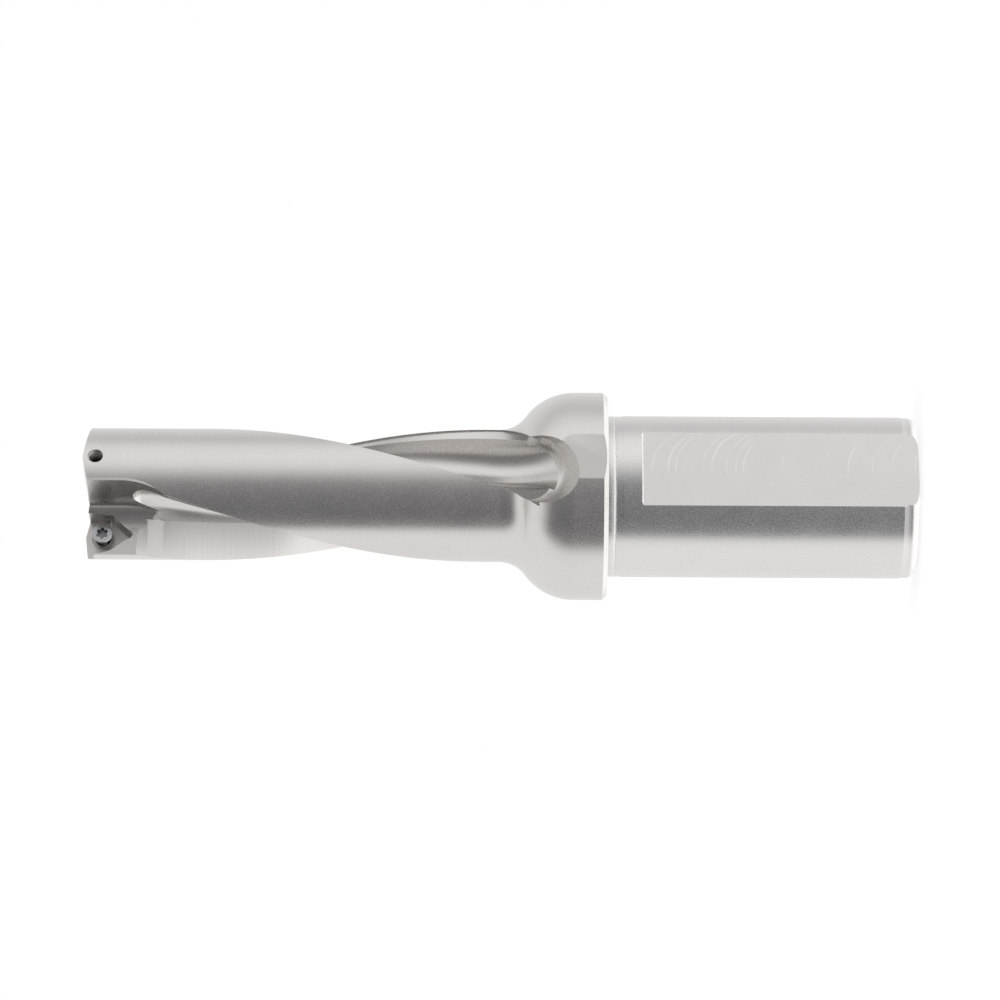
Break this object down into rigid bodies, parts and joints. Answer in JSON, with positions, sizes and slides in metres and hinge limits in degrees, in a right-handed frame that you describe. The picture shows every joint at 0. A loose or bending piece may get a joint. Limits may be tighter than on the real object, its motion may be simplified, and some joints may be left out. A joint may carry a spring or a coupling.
{
  "type": "indexable drill",
  "caption": "Drill body with a round shank with a side flat, a domed flange, helical flutes and pockets for screwed-on cutting inserts.",
  "frame": {"origin": "centre of the end face of the shank, on the drill's axis", "axes": "+Z along the drill's axis toward the cutting end; the side flat of the shank faces -Y"},
  "size_m": [0.041, 0.0405, 0.1642],
  "materials": {
    "body_steel": "satin nickel-grey finish",
    "screw_steel": "bright machined steel"
  },
  "bodies": {
    "root": {"drill_body": "body_steel", "peripheral_insert_screw": "screw_steel", "central_insert_screw": "screw_steel"}
  },
  "joints": []
}
